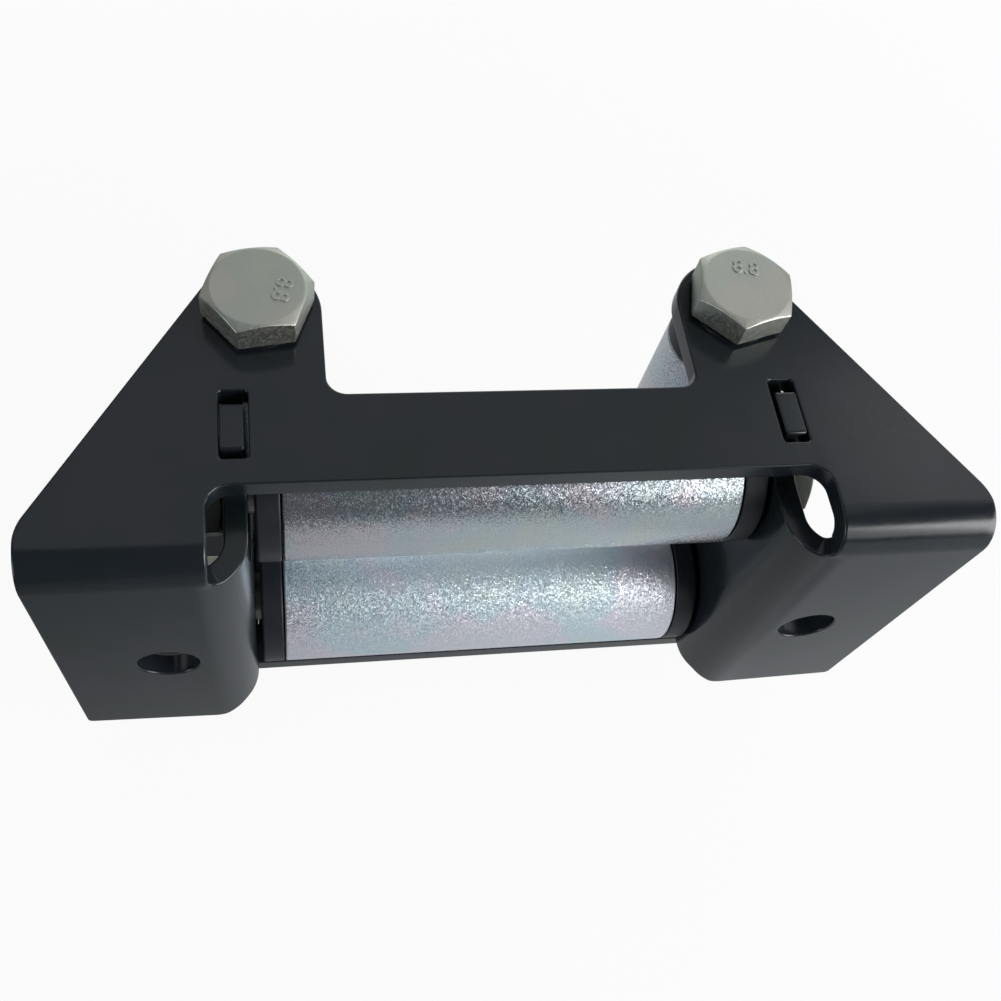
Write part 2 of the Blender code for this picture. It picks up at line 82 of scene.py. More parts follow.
# Bracket
BOLT_PATTERN = 0.124
MOUNT_HOLE = 0.011
OVERALL_WIDTH = 0.1620
OVERALL_HEIGHT = 0.080
FLANGE_LOW = 0.0088
TIP_LOW = 0.0071
CHEEK_LOW = 0.0094
SHEET = 0.0040
EDGE_ROUND = 0.0004
EDGE_STEPS = 3
TOP_BEND = 0.007
CHEEK_BEND = 0.009
BEND_STEPS = 18
FADE_REACH = 0.002
FADE_STEPS = 10
RECESS_DEPTH = 0.0145
LOWER_PLATE_SETBACK = 0.0122
LOWER_CORNER = 0.003
NOTCH_DEPTH = 0.03125
NOTCH_FILLET = 0.0035
EAR_RADIUS = 0.0109
FLARE_START = 0.0083
FLARE_CORNER = 0.0085
FLANGE_CORNER = 0.0012
TIP_INSET = 0.0023
TIP_RISE = 0.0053
TIP_CORNER = 0.003
CHEEK_SPAN = 0.0930
CHEEK_FRONT = 0.0368
CHEEK_CORNER = 0.0035
CHEEK_STEP = 0.0135
TAB_START = 0.0209
TAB_LENGTH = 0.009
TAB_CORNER = 0.0008
SLOT_CORNER = 0.0008
UPPER_SLOT_GAPS = (0.00075, 0.0001, 0.0016, 0.0024)   # to the tab: inner, outer, rear, front
LOWER_SLOT_GAPS = (0.0001, 0.0001, 0.0001, 0.0001)    # closed by the weld
RELIEF_OUTER = 0.0527
RELIEF_DEPTH = 0.0086
RELIEF_FRONT = 0.0185
RELIEF_CORNER = 0.003
RECESS_CORNER = 0.0038

# Rollers
ROLLER_TO_PLATE = 0.00125
UPPER_AXIS_Y = 0.0248
LOWER_AXIS_Y = 0.0216
VERTICAL_AXIS_X = 0.0436
VERTICAL_AXIS_Y = 0.0488
TUBE_EDGE = 0.0004
BORE_EDGE = 0.0003
BUSHING_EDGE = 0.0006
ROUND_SEGMENTS = 128

# Bolts and lock nuts
BOLT = 0.010
ACROSS_FLATS = 0.017
HEX_CORNER = 0.0004
HEAD_HEIGHT = 0.0064
WASHER_FACE = 0.0155
WASHER_FACE_HEIGHT = 0.0006
CHAMFER_CIRCLE = 0.0160
CHAMFER_FALL = math.tan(math.radians(27))
HEX_EDGE = 0.00018
HEX_FLAT_STEP = 0.0006
BOLT_TIP = 0.001
THREAD_PAST_NUT = 0.0025
THREAD_PITCH = 0.0015
THREAD_DEPTH = 0.0009
THREAD_LENGTH = 0.009
THREAD_ROWS = 10              # rings for each turn
THREAD_FADE_ROWS = 6
GROOVE_REACH = 1.35           # the groove's shape over a turn: reach, slope and flat floor
GROOVE_SLOPE = 3.0
GROOVE_FLOOR = 1.2
NUT_HEX_HEIGHT = 0.0068
NUT_HEIGHT = 0.0098
NUT_COLLAR = 0.0145
NUT_COLLAR_WALL = 0.0011
NUT_COLLAR_ROUND = 0.0007
NUT_COLLAR_STEPS = 5
INSERT_HEIGHT = 0.0022
SIDE_HEAD_TURN = math.radians(23)
LEFT_HEAD_TURN = math.radians(8.2)
RIGHT_HEAD_TURN = math.radians(-43.4)
MARK_TEXT = "8.8"
MARK_RELIEF = 0.0002
MARK_SIZE = 0.0042
SIDE_MARKS = (0.0, (0.0, -0.004))   # turn and place of the marks on a head
LEFT_MARKS = (math.radians(-105), (0.0040, -0.0008))
RIGHT_MARKS = (math.radians(-12), (0.0006, 0.0036))

# Welds
WELD_LEG = 0.003
WELD_LENGTH = 0.021
WELD_HOLLOW = 0.2
WELD_RIPPLES = 16
WELD_RIPPLE_DEPTH = 0.00012
WELD_ROWS = 8                 # rings for each ripple
WELD_FACE_STEPS = 12
WELD_END = 1 / 14             # share of the length that rounds off at each end
WELD_END_SIZE = 0.25

# Coating, nylon and zinc: noise scales are per metre, roughness is least and most
COAT_CLOUD = 60.0
COAT_SHADES = [(0.35, (0.011, 0.017, 0.019)), (0.65, (0.015, 0.019, 0.026))]
COAT_DUST = 1500.0
COAT_DUST_RANGE = (0.35, 0.65)
COAT_ROUGHNESS = (0.17, 0.23)
COAT_PEEL = 260.0
COAT_PEEL_HEIGHT = 0.00002
COAT_PEEL_STRENGTH = 0.4
COAT_IOR = 1.5
NYLON_CLOUD = 120.0
NYLON_SHADES = [(0.3, (0.010, 0.013, 0.020)), (0.7, (0.018, 0.021, 0.028))]
NYLON_CLOUD_RANGE = (0.3, 0.7)
NYLON_ROUGHNESS = (0.38, 0.50)
NYLON_GRAIN = 2500.0
NYLON_GRAIN_HEIGHT = 0.000008
NYLON_GRAIN_STRENGTH = 0.5
RING_CLOUD = 400.0
RING_SHADES = [(0.3, (0.50, 0.51, 0.49)), (0.7, (0.60, 0.61, 0.58))]
RING_ROUGHNESS = 0.5
ZINC_TINT = 60.0
ZINC_TINT_PLACES = (0.32, 0.46, 0.56, 0.70)
ZINC_FINE = 1.6               # the fine bump's scale, height and strength, for each grain
ZINC_FINE_ROUGHNESS = 0.6
ZINC_FINE_HEIGHT = 1 / 12
ZINC_FINE_STRENGTH = 1.2
# Each zinc's shades by place, roughness, tilt of its grains and their width
ZINC_LOOKS = {
    "zinc_plate": ([(0.65, 0.71, 0.69), (0.61, 0.70, 0.75), (0.71, 0.68, 0.74),
                    (0.69, 0.71, 0.75)], (0.18, 0.34), 0.26, 0.00015),
    "zinc_fasteners": ([(0.54, 0.57, 0.49), (0.51, 0.55, 0.50), (0.56, 0.56, 0.50),
                        (0.57, 0.58, 0.53)], (0.40, 0.54), 0.02, 0.00040),
    # The lower roller's zinc is frosted, with rougher and more tilted grains, and its shades are
    # painted lighter than the upper roller's: painted light for the brighter light it shows
    "zinc_frosted_painted_lighter": ([(0.80, 0.90, 0.92), (0.76, 0.89, 0.96), (0.89, 0.88, 0.96),
                      (0.86, 0.90, 0.95)], (0.30, 0.72), 0.42, 0.00016)}

# Stage
WHITE = (1, 1, 1, 1)
FLOOR_DROP = 0.0005
FLOOR_SIZE = 3.0
FLOOR_COLOUR = (0.8, 0.8, 0.8, 1.0)
FLOOR_SHOWN = 0.93            # share of the floor's look that doesn't take shadows
FLOOR_FADE = (0.2, 0.6)       # distances over which the floor fades to plain white
GLOW_COLOUR = (0.95, 0.98, 1, 1)
GLOW_LEVEL = (0.02, 0.85)     # the floor's glow in reflections, from left to right
GLOW_SPREAD = 0.25
GLOW_BACK = (0.4, 1.2)        # depths over which it rises to almost white behind the object
GLOW_GAIN = 1.10
GLOW_MIDDLE = 0.01            # it is weaker on both sides of this line, more so in front
GLOW_SIDES = (0.052, 0.066)
GLOW_FRONT = (-0.035, -0.005)
GLOW_LOSS = (0.38, 0.16)
WORLD_COLOUR = (0.068, 0.075, 0.085, 1)
WORLD_BACK = (0.8, 0.95)      # directions over which the world turns almost white behind
BACK_LEVEL = 0.9

# Lamps: name, place, size and power in watts
LAMPS = [("right", (0.65, -0.35, 0.25), (0.5, 0.5), 5.0),
         ("front right", (0.50, -0.55, 0.35), (0.4, 0.4), 0.8),
         ("back right", (0.65, 0.25, 0.45), (0.5, 0.5), 0.6),
         ("overhead", (0.05, 0.18, 0.8), (1.0, 0.9), 1.2),
         ("left", (-0.80, -0.42, 0.14), (0.4, 0.4), 1.8),
         ("back left", (-0.72, 0.45, 0.50), (0.4, 0.4), 0.28),
         ("back", (0.3, 0.75, 0.35), (0.5, 0.5), 0.85)]

# Values worked out from the sizes above
TOP = OVERALL_HEIGHT / 2
UNDER_TOP = TOP - SHEET
HALF_WIDTH = OVERALL_WIDTH / 2
CHEEK_INNER = CHEEK_SPAN / 2
CHEEK_OUTER = CHEEK_INNER + SHEET
CHEEK_LINE = CHEEK_INNER + CHEEK_BEND
CHEEK_ARC = CHEEK_BEND * math.pi / 2
FLAT_FLANGE_TOP = TOP_BEND - TOP_BEND * math.pi / 2
BOLT_HOLE_RADIUS = BOLT / 2 + BORE_GAP
RELIEF_FLOOR = FLAT_FLANGE_TOP + TOP_BEND - RELIEF_DEPTH
FADE_TOP = FLAT_FLANGE_TOP + FADE_REACH
EAR_AXIS = Vector((VERTICAL_AXIS_X, VERTICAL_AXIS_Y))
HORIZONTAL = {"tube": 0.0275, "wall": 0.0025, "flange": 0.0043, "spigot": 0.014,
              "face": CHEEK_INNER - END_PLAY}
VERTICAL = {"tube": 0.019, "wall": 0.002, "flange": 0.0056, "spigot": 0.012,
            "face": UNDER_TOP - SEAT_GAP}
AXIS_HEIGHT = UNDER_TOP - ROLLER_TO_PLATE - HORIZONTAL["tube"] / 2


# Materials

class Nodes:
    """Short calls for building the node tree of a material or the world."""

    def __init__(self, owner, output="OutputMaterial"):
        owner.use_nodes = True
        self.owner = owner
        self.tree = owner.node_tree
        self.tree.nodes.clear()
        self.output = self.tree.nodes.new("ShaderNode" + output)

    def add(self, kind, links=None, **settings):
        node = self.tree.nodes.new("ShaderNode" + kind)
        for key, value in settings.items():
            setattr(node, key, value)
        for key, value in (links or {}).items():
            socket = node.inputs[key]
            if isinstance(value, bpy.types.NodeSocket):
                self.tree.links.new(value, socket)
            else:
                socket.default_value = value
        return node

    def math(self, operation, a, b=0.0, c=0.0):
        return self.add("Math", {0: a, 1: b, 2: c}, operation=operation).outputs[0]

    def remap(self, value, low, high, to_low, to_high):
        made = self.add("MapRange", {"Value": value, "From Min": low, "From Max": high,
                                     "To Min": to_low, "To Max": to_high})
        return made.outputs[0]

    def place(self):
        """Object coordinates."""
        return self.add("TexCoord").outputs["Object"]

    def vector(self, operation, links):
        return self.add("VectorMath", links, operation=operation).outputs[0]

    def noise(self, vector, scale, detail, roughness=0.5):
        made = self.add("TexNoise", {"Vector": vector, "Scale": scale, "Detail": detail,
                                     "Roughness": roughness})
        return made.outputs["Fac"]

    def ramp(self, value, stops):
        made = self.add("ValToRGB", {"Fac": value})
        band = made.color_ramp
        while len(band.elements) < len(stops):
            band.elements.new(0.5)
        for element, (place, colour) in zip(band.elements, stops):
            element.position = place
            element.color = (*colour, 1.0)
        return made.outputs["Color"]

    def bump(self, height, distance, strength, after=None):
        links = {"Height": height, "Distance": distance, "Strength": strength}
        if after is not None:
            links["Normal"] = after
        return self.add("Bump", links).outputs["Normal"]

    def finish(self, shader):
        self.tree.links.new(shader.outputs[0], self.output.inputs["Surface"])
        return self.owner


def black_coat(t):
    """Glossy black coating: slight orange peel, faint mottling."""
    place = t.place()
    cloud = t.noise(place, COAT_CLOUD, 3.0)
    peel = t.noise(place, COAT_PEEL, 1.0)
    dust = t.noise(place, COAT_DUST, 3.0)
    return t.finish(t.add("BsdfPrincipled", {
        "Base Color": t.ramp(cloud, COAT_SHADES),
        "Roughness": t.remap(dust, *COAT_DUST_RANGE, *COAT_ROUGHNESS),
        "Normal": t.bump(peel, COAT_PEEL_HEIGHT, COAT_PEEL_STRENGTH),
        "IOR": COAT_IOR}))


def black_nylon(t):
    """Moulded black nylon with a satin face."""
    place = t.place()
    grain = t.noise(place, NYLON_GRAIN, 3.0)
    cloud = t.noise(place, NYLON_CLOUD, 3.0)
    return t.finish(t.add("BsdfPrincipled", {
        "Base Color": t.ramp(cloud, NYLON_SHADES),
        "Roughness": t.remap(cloud, *NYLON_CLOUD_RANGE, *NYLON_ROUGHNESS),
        "Normal": t.bump(grain, NYLON_GRAIN_HEIGHT, NYLON_GRAIN_STRENGTH)}))


def white_nylon(t):
    """Off-white nylon locking ring."""
    cloud = t.noise(t.place(), RING_CLOUD, 3.0)
    return t.finish(t.add("BsdfPrincipled", {"Base Color": t.ramp(cloud, RING_SHADES),
                                             "Roughness": RING_ROUGHNESS}))


def zinc(t, shades, rough, facet, facet_size):
    """Zinc plate whose grains tilt a little, so that they sparkle one by one.

    shades are colours by place, rough the least and most roughness, facet the
    tilt of a grain and facet_size its width.
    """
    place = t.place()
    tint = t.noise(place, ZINC_TINT, 2.0)
    cells = t.add("TexVoronoi", {"Vector": place, "Scale": 1 / facet_size}).outputs["Color"]
    grain = t.add("SeparateColor", {0: cells}).outputs["Blue"]
    tilt = t.vector("SUBTRACT", {0: cells, 1: (0.5, 0.5, 0.5)})
    tilt = t.vector("SCALE", {0: tilt, "Scale": facet})
    normal = t.vector("ADD", {0: t.add("NewGeometry").outputs["Normal"], 1: tilt})
    normal = t.vector("NORMALIZE", {0: normal})
    fine = t.noise(place, ZINC_FINE / facet_size, 2.0, ZINC_FINE_ROUGHNESS)
    normal = t.bump(fine, ZINC_FINE_HEIGHT * facet_size, ZINC_FINE_STRENGTH * facet, normal)
    return t.finish(t.add("BsdfPrincipled", {
        "Base Color": t.ramp(tint, list(zip(ZINC_TINT_PLACES, shades))),
        "Metallic": 1.0,
        "Roughness": t.remap(grain, 0.0, 1.0, *rough),
        "Normal": normal}))


def make_finishes():
    """The materials by name. The record's slots are among the names."""
    made = {}
    for name, build in (("black_coat", black_coat), ("black_nylon", black_nylon),
                        ("nylon_insert", white_nylon)):
        made[name] = build(Nodes(bpy.data.materials.new(name)))
    for name, look in ZINC_LOOKS.items():
        made[name] = zinc(Nodes(bpy.data.materials.new(name)), *look)
    return made


FINISHES = make_finishes()


# Pieces

def finish_of(node, slot):
    # The lower roller's tube takes the frosted zinc, whose lighter shades are painted light
    if node == "lower_roller_tube":
        return FINISHES["zinc_frosted_painted_lighter"]
    if node.endswith(("_bolt", "_nut")):
        return FINISHES["zinc_fasteners"]
    return FINISHES[slot]


def make_piece(node, bm):
    """A shown piece that stands for one CAD node, with its finish and body."""
    slot = next(r["material_slot"] for r in frame["record"]["subparts"] if r["node"] == node)
    bodies = frame["record"]["behaviour"]["bodies"]
    bmesh.ops.recalc_face_normals(bm, faces=bm.faces)
    mesh = bpy.data.meshes.new(node + "_detail")
    bm.to_mesh(mesh)
    bm.free()
    mesh.materials.append(finish_of(node, slot))
    mesh.shade_smooth()
    mesh.set_sharp_from_angle(angle=SHARP_ANGLE)
    made = bpy.data.objects.new(node + "_detail", mesh)
    bpy.context.scene.collection.objects.link(made)
    smooth = made.modifiers.new("normals", "WEIGHTED_NORMAL")
    smooth.keep_sharp = True
    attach(made, next(b for b, members in bodies.items() if node in members))
    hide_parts(node)


# Flat outlines

def arc(centre, radius, start, end, count=None):
    """Points on an arc from angle start to angle end, both included."""
    if count is None:
        step = 2 * math.acos(1 - SAG / radius)
        count = max(3, math.ceil(abs(end - start) / step))
    points = []
    for i in range(count + 1):
        angle = start + (end - start) * i / count
        points.append(Vector((centre[0] + radius * math.cos(angle),
                              centre[1] + radius * math.sin(angle))))
    return points


def circle(centre, radius, count=None):
    return arc(centre, radius, 0.0, 2 * math.pi, count)[:-1]


def rounded(corners, count=None):
    """A closed outline from (point, radius) corners, with true arcs on them."""
    points = []
    total = len(corners)
    for i, (point, radius) in enumerate(corners):
        corner = Vector(point)
        if radius <= 0:
            points.append(corner)
            continue
        to_last = (Vector(corners[i - 1][0]) - corner).normalized()
        to_next = (Vector(corners[(i + 1) % total][0]) - corner).normalized()
        half = to_last.angle(to_next) / 2
        reach = radius / math.tan(half)
        centre = corner + (to_last + to_next).normalized() * radius / math.sin(half)
        first = corner + to_last * reach - centre
        last = corner + to_next * reach - centre
        start = math.atan2(first.y, first.x)
        sweep = math.atan2(last.y, last.x) - start
        sweep = (sweep + math.pi) % (2 * math.pi) - math.pi
        points.extend(arc(centre, radius, start, start + sweep, count))
    return points


def mirrored(points):
    return [Vector((-p.x, p.y)) for p in reversed(points)]


def front_edge(corner):
    """Right half of a plate's front edge, from the notch to the outer corner."""
    inner = VERTICAL_AXIS_X - EAR_RADIUS
    fillet = arc((inner - NOTCH_FILLET, NOTCH_DEPTH + NOTCH_FILLET),
                 NOTCH_FILLET, -math.pi / 2, 0.0)
    reach = corner - EAR_AXIS
    tangent = math.atan2(reach.y, reach.x) + math.acos(EAR_RADIUS / reach.length)
    return fillet + arc(EAR_AXIS, EAR_RADIUS, math.pi, tangent)


def rear_height(z):
    """Blank coordinate of height z on the flat part of a flange."""
    return FLAT_FLANGE_TOP - (TOP - TOP_BEND - z)


def cheek_blank(y):
    """Blank coordinate of the cheek point that ends up at depth y."""
    return CHEEK_LINE - CHEEK_ARC - (y - CHEEK_BEND)


def cheek_outline():
    """Corners of the right flange and cheek lobe in the blank, from the outside in."""
    lower = rear_height(-UNDER_TOP + SEAT_GAP)
    upper = rear_height(UNDER_TOP - SEAT_GAP)
    tab_low = rear_height(-TOP)
    tab_high = rear_height(TOP)
    tab_rear = cheek_blank(TAB_START)
    tab_front = cheek_blank(TAB_START + TAB_LENGTH)
    front = cheek_blank(CHEEK_FRONT)
    step = cheek_blank(CHEEK_STEP)
    tip = CHEEK_LINE - TIP_INSET
    edge = rear_height(CHEEK_LOW - TOP)
    return [((HALF_WIDTH, rear_height(FLANGE_LOW - TOP)), FLANGE_CORNER),
            ((tip, rear_height(TIP_LOW - TOP)), TIP_CORNER),
            ((tip - TIP_RISE, edge), TIP_CORNER),
            ((step, edge), CHEEK_CORNER / 2),
            ((step, lower), 0),
            ((tab_rear, lower), 0),
            ((tab_rear, tab_low), 0),
            ((tab_front, tab_low), 0),
            ((tab_front, lower), 0),
            ((front, lower), CHEEK_CORNER),
            ((front, upper), CHEEK_CORNER),
            ((tab_front, upper), 0),
            ((tab_front, tab_high), TAB_CORNER),
            ((tab_rear, tab_high), TAB_CORNER),
            ((tab_rear, upper), 0),
            ((cheek_blank(RELIEF_FRONT), upper), RELIEF_CORNER / 2),
            ((cheek_blank(RELIEF_FRONT), RELIEF_FLOOR), RELIEF_CORNER),
            ((RELIEF_OUTER, RELIEF_FLOOR), RELIEF_CORNER),
            ((RELIEF_OUTER, RECESS_DEPTH), RECESS_CORNER)]


def slot_outline(side, gaps):
    """Slot that a cheek tab passes through, on the right or left side."""
    inner = CHEEK_INNER - gaps[0]
    outer = CHEEK_OUTER + gaps[1]
    rear = TAB_START - gaps[2]
    front = TAB_START + TAB_LENGTH + gaps[3]
    corners = [(inner, rear), (outer, rear), (outer, front), (inner, front)]
    return rounded([((side * x, y), SLOT_CORNER) for x, y in corners])


def bracket_blank():
    """Outline and holes of the flat blank that folds into the bracket."""
    outer = Vector((HALF_WIDTH, FLARE_START))
    front = front_edge(outer)
    corners = [(front[-1], 0), (outer, FLARE_CORNER)] + cheek_outline()
    half = front[:-1] + rounded(corners + [((0.0, RECESS_DEPTH), 0)])[:-1]
    holes = []
    for side in (-1, 1):
        holes.append(circle((side * BOLT_PATTERN / 2, rear_height(0.0)), MOUNT_HOLE / 2))
        holes.append(circle((side * VERTICAL_AXIS_X, VERTICAL_AXIS_Y), BOLT_HOLE_RADIUS))
        holes.append(slot_outline(side, UPPER_SLOT_GAPS))
        for depth, height in ((UPPER_AXIS_Y, AXIS_HEIGHT), (LOWER_AXIS_Y, -AXIS_HEIGHT)):
            holes.append(circle((side * cheek_blank(depth), rear_height(height)),
                                BOLT_HOLE_RADIUS))
    return half + mirrored(half), holes


def lower_plate_outline():
    """Outline and holes of the flat lower plate."""
    outer = Vector((HALF_WIDTH, FLARE_START))
    front = front_edge(outer)
    slope = (outer - front[-1]).normalized()
    rear = outer + slope * ((LOWER_PLATE_SETBACK - outer.y) / slope.y)
    corners = [(front[-1], 0), (rear, LOWER_CORNER), ((0.0, LOWER_PLATE_SETBACK), 0)]
    half = front[:-1] + rounded(corners)[:-1]
    holes = []
    for side in (-1, 1):
        holes.append(circle((side * VERTICAL_AXIS_X, VERTICAL_AXIS_Y), BOLT_HOLE_RADIUS))
        holes.append(slot_outline(side, LOWER_SLOT_GAPS))
    return half + mirrored(half), holes


# Sheet metal

def flat_sheet(outline, holes):
    """A filled flat region with rings along every edge for its rounding.

    The vertex layer "drop" says how far each ring lies below the face.
    """
    bm = bmesh.new()
    drop = bm.verts.layers.float.new("drop")
    for loop in [outline] + holes:
        verts = [bm.verts.new((p.x, p.y, 0.0)) for p in loop]
        for i, vert in enumerate(verts):
            bm.edges.new((vert, verts[(i + 1) % len(verts)]))
    bmesh.ops.triangle_fill(bm, edges=bm.edges[:], use_beauty=True, normal=(0, 0, 1))
    inner = bm.faces[:]
    inset = 0.0
    for i in range(EDGE_STEPS):
        angle = math.pi / 2 * (i + 1) / EDGE_STEPS
        further = EDGE_ROUND * (1 - math.cos(angle))
        ring = bmesh.ops.inset_region(bm, faces=inner, thickness=further - inset,
                                      use_even_offset=True, use_boundary=True)["faces"]
        inset = further
        outside = set(ring)
        inner = [f for f in inner if f.is_valid and f not in outside]
        for vert in {v for f in inner for v in f.verts}:
            vert[drop] = EDGE_ROUND * (1 - math.sin(angle))
    for vert in bm.verts:
        if vert.is_boundary:
            vert[drop] = EDGE_ROUND
    return bm


def cut_lines(bm, normal, values, inside):
    """Split the faces with a corner inside along lines square to normal."""
    for value in values:
        faces = [f for f in bm.faces if any(inside(v.co) for v in f.verts)]
        geometry = set(faces)
        for face in faces:
            geometry.update(face.edges)
            geometry.update(face.verts)
        bmesh.ops.bisect_plane(bm, geom=list(geometry), dist=CUT_MERGE,
                               plane_co=normal * value, plane_no=normal)


def thicken(bm):
    """Give the flat sheet its thickness, along z from 0 to SHEET."""
    drop = bm.verts.layers.float["drop"]
    rim = {v for v in bm.verts if v.is_boundary}
    rim_edges = [e for e in bm.edges if e.is_boundary]
    upper = bm.verts[:]
    copied = bmesh.ops.duplicate(bm, geom=bm.verts[:] + bm.edges[:] + bm.faces[:])
    twin = copied["vert_map"]
    for vert in upper:
        fall = vert[drop]
        vert.co.z = fall
        twin[vert].co.z = SHEET - fall
    for edge in rim_edges:
        a, b = edge.verts
        if a in rim and b in rim:
            bm.faces.new((a, b, twin[b], twin[a]))


def ease(value):
    value = min(1.0, max(0.0, value))
    return value * value * (3 - 2 * value)


def folded_point(co):
    """Where a point of the thick blank lies once both bends are made."""
    side = 1.0 if co.x >= 0 else -1.0
    x, v, depth = abs(co.x), co.y, co.z
    height = TOP - TOP_BEND - (FLAT_FLANGE_TOP - v)
    flat = Vector((x, depth, height))
    if v >= TOP_BEND:
        top = Vector((x, v, TOP - depth))
    elif v >= FLAT_FLANGE_TOP:
        angle = (TOP_BEND - v) / TOP_BEND
        radius = TOP_BEND - depth
        top = Vector((x, TOP_BEND - radius * math.sin(angle),
                      TOP - TOP_BEND + radius * math.cos(angle)))
    else:
        top = flat
    run = CHEEK_LINE - x
    if run <= 0:
        cheek = flat
    elif run <= CHEEK_ARC:
        angle = run / CHEEK_BEND
        radius = CHEEK_BEND - depth
        cheek = Vector((CHEEK_LINE - radius * math.sin(angle),
                        CHEEK_BEND - radius * math.cos(angle), height))
    else:
        cheek = Vector((CHEEK_INNER + depth, CHEEK_BEND + run - CHEEK_ARC, height))
    # Beside the relief opening the cheek bend fades into the top bend
    if v > TOP_BEND:
        place = top
    elif x < RELIEF_OUTER - RELIEF_CORNER:
        place = cheek
    else:
        place = top + (cheek - flat) * ease((FADE_TOP - v) / (FADE_TOP - RELIEF_FLOOR))
    return Vector((side * place.x, place.y, place.z))


def make_bracket():
    bm = flat_sheet(*bracket_blank())
    across = Vector((1, 0, 0))
    along = Vector((0, 1, 0))
    steps = range(BEND_STEPS + 1)
    top_lines = [TOP_BEND + (FLAT_FLANGE_TOP - TOP_BEND) * i / BEND_STEPS for i in steps]
    fade = FADE_TOP - RELIEF_FLOOR
    fade_lines = [RELIEF_FLOOR + fade * i / FADE_STEPS for i in range(FADE_STEPS)]
    cheek_lines = [CHEEK_LINE - CHEEK_ARC * i / BEND_STEPS for i in steps]
    cut_lines(bm, along, top_lines, lambda co: co.y < TOP_BEND)
    for side in (-1, 1):
        cut_lines(bm, across, [side * x for x in cheek_lines], lambda co: co.y < TOP_BEND)
    cut_lines(bm, along, fade_lines, lambda co: co.y < TOP_BEND and abs(co.x) < CHEEK_LINE)
    thicken(bm)
    for vert in bm.verts:
        vert.co = folded_point(vert.co)
    make_piece("mounting_bracket", bm)


def make_lower_plate():
    bm = flat_sheet(*lower_plate_outline())
    thicken(bm)
    for vert in bm.verts:
        vert.co.z = -UNDER_TOP - vert.co.z
    make_piece("lower_plate", bm)


# Turned pieces

def revolve(bm, profile, place):
    """Spin a closed (radius, z) profile about local Z and put it in place."""
    rings = []
    for p in profile:
        rings.append([bm.verts.new(place @ Vector((q.x, q.y, p[1])))
                      for q in circle((0, 0), p[0], ROUND_SEGMENTS)])
    for first, second in zip(rings, rings[1:] + rings[:1]):
        bridge(bm, first, second)


def bridge(bm, first, second):
    count = len(first)
    for i in range(count):
        j = (i + 1) % count
        bm.faces.new((first[i], first[j], second[j], second[i]))


def make_roller(name, place, ends, size):
    """A tube on two flanged bushings, along local Z."""
    outer = size["tube"] / 2
    inner = outer - size["wall"]
    half = size["face"] - size["flange"] - SEAT_GAP
    bm = bmesh.new()
    corners = [((inner, -half), BORE_EDGE), ((outer, -half), TUBE_EDGE),
               ((outer, half), TUBE_EDGE), ((inner, half), BORE_EDGE)]
    revolve(bm, rounded(corners, CORNER_STEPS), place)
    make_piece(name + "_tube", bm)
    bore = BOLT / 2 + BORE_GAP
    spigot = inner - SEAT_GAP
    shoulder = -size["flange"]
    end = shoulder - size["spigot"]
    corners = [((bore, 0.0), BORE_EDGE), ((outer, 0.0), BUSHING_EDGE),
               ((outer, shoulder), BORE_EDGE), ((spigot, shoulder), 0),
               ((spigot, end), BORE_EDGE), ((bore, end), BORE_EDGE)]
    profile = rounded(corners, CORNER_STEPS)
    for end_name, side, turn in ((ends[0], 1, 0.0), (ends[1], -1, math.pi)):
        bm = bmesh.new()
        shift = Matrix.Translation((0, 0, side * size["face"]))
        revolve(bm, profile, place @ shift @ Matrix.Rotation(turn, 4, "X"))
        make_piece(f"{name}_{end_name}_bushing", bm)


# Fasteners

def hex_points(turn):
    """A hexagon outline with rounded corners and points along its flats."""
    radius = ACROSS_FLATS / math.sqrt(3)
    corners = [(Vector((radius * math.cos(turn + i * math.pi / 3),
                        radius * math.sin(turn + i * math.pi / 3))), HEX_CORNER)
               for i in range(6)]
    round_points = rounded(corners, CORNER_STEPS)
    points = []
    for p, after in zip(round_points, round_points[1:] + round_points[:1]):
        points.append(p)
        cuts = int((after - p).length / HEX_FLAT_STEP)
        points.extend(p.lerp(after, (j + 1) / (cuts + 1)) for j in range(cuts))
    return points


def ring_at(bm, points, place, radius_of, height_of):
    """A ring over the outline points, with its radius and height from theirs."""
    ring = []
    for p in points:
        radius = radius_of(p)
        q = p.normalized() * radius
        ring.append(bm.verts.new(place @ Vector((q.x, q.y, height_of(radius, p)))))
    return ring


def loft(bm, rings):
    for first, second in zip(rings, rings[1:]):
        bridge(bm, first, second)


def crown_rings(bm, points, place, level, outward):
    """Rings from the flat circle over the chamfer cone to a hexagon's side."""
    flat = CHAMFER_CIRCLE / 2

    def cone(radius):
        return level - outward * max(0.0, radius - flat) * CHAMFER_FALL

    def ring(radius_of, below=0.0):
        return ring_at(bm, points, place, radius_of,
                       lambda radius, p: cone(radius) - outward * below)

    return [ring(lambda p: flat - 2 * HEX_EDGE),
            ring(lambda p: flat - HEX_EDGE / 2),
            ring(lambda p: flat + HEX_EDGE / 2),
            ring(lambda p: p.length - HEX_EDGE),
            ring(lambda p: p.length - HEX_EDGE / 4, HEX_EDGE / 4),
            ring(lambda p: p.length, HEX_EDGE)]


def round_ring(bm, points, place, radius, z):
    return ring_at(bm, points, place, lambda p: radius, lambda r, p: z)


